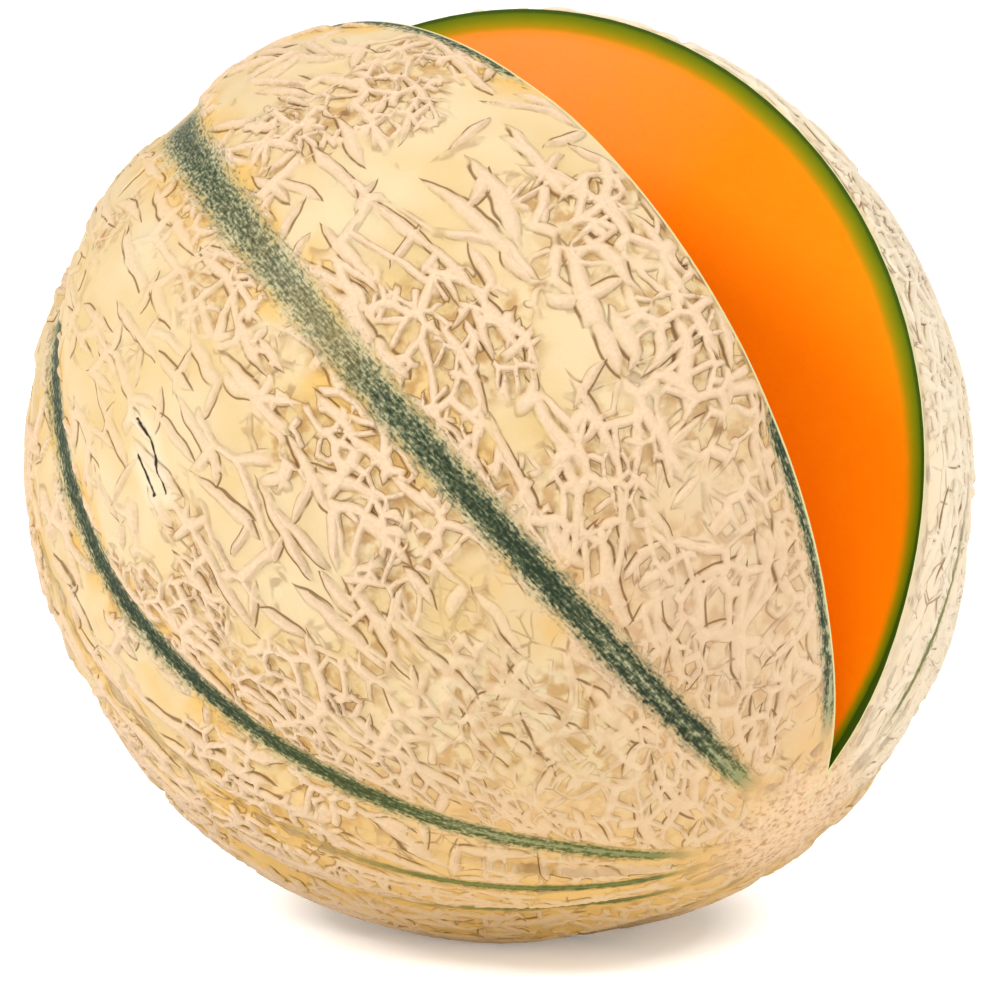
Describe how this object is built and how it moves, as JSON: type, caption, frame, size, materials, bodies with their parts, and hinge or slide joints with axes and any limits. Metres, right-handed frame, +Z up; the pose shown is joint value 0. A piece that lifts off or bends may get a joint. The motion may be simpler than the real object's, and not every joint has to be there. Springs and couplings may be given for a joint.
{
  "type": "cantaloupe melon",
  "caption": "Netted and lobed cantaloupe melon with one lobe cut out down to its seed hollow, lying tipped over on a small flat spot.",
  "frame": {"origin": "middle of the flat spot that the melon lies on", "axes": "+Z up; +Y away from the viewer of the picture; +X to the viewer's right. The blossom end points down to +X and -Y, and the cut opens up to +X and -Y."},
  "size_m": [0.1431, 0.1413, 0.1367],
  "materials": {
    "rind": "dull corky net on a pale waxy skin with green grooves; moist orange flesh where it is cut"
  },
  "bodies": {
    "root": {"melon": "rind"}
  },
  "joints": []
}
